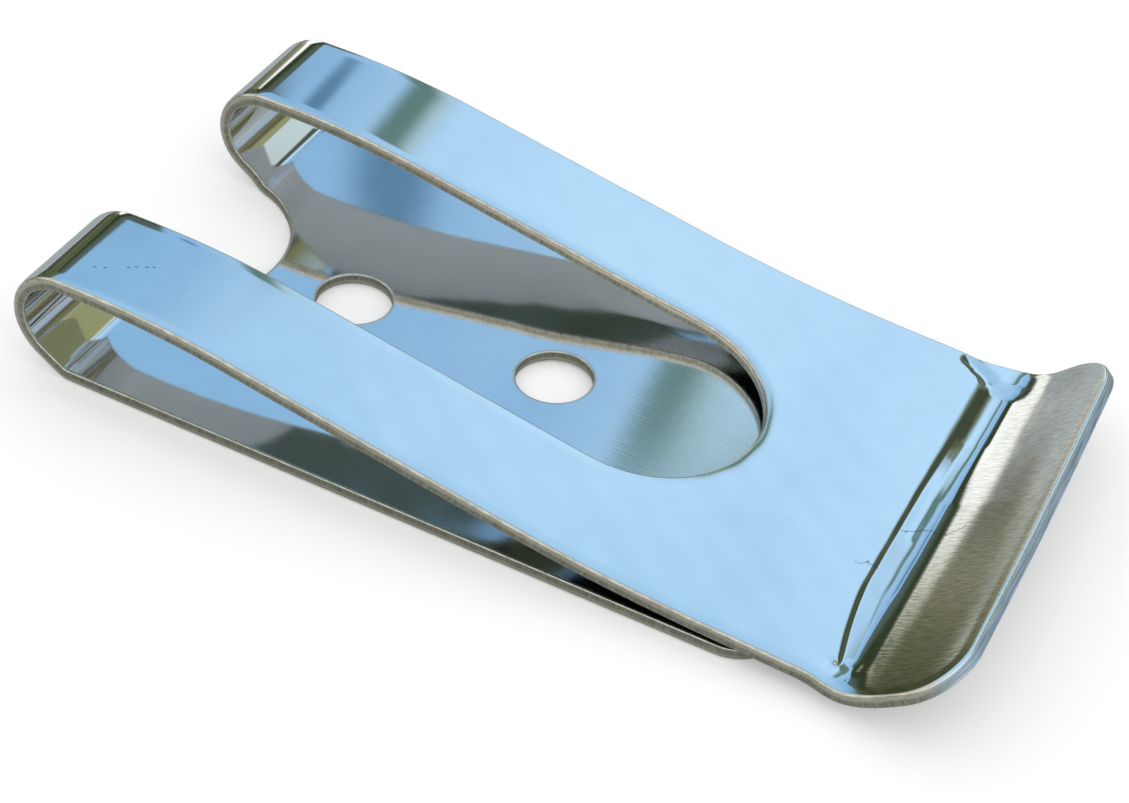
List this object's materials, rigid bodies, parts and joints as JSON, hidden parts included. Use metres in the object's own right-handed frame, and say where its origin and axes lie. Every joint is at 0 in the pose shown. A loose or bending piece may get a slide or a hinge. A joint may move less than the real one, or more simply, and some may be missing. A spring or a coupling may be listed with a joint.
{
  "type": "flat spring clip",
  "caption": "Folded flat spring clip: a flat back leaf with rivet holes and a sprung front leaf with a long slot and a turned-up lip.",
  "frame": {"origin": "centre of the overall box, on the outside of the back leaf", "axes": "+X from the fold towards the lip, +Z out of the back leaf towards the spring leaf, Y across the strip"},
  "size_m": [0.0636, 0.033, 0.0081],
  "materials": {
    "nickel_plate": "bright nickel plate over spring steel, with fine handling scratches"
  },
  "bodies": {
    "root": {"spring_clip": "nickel_plate"}
  },
  "joints": []
}
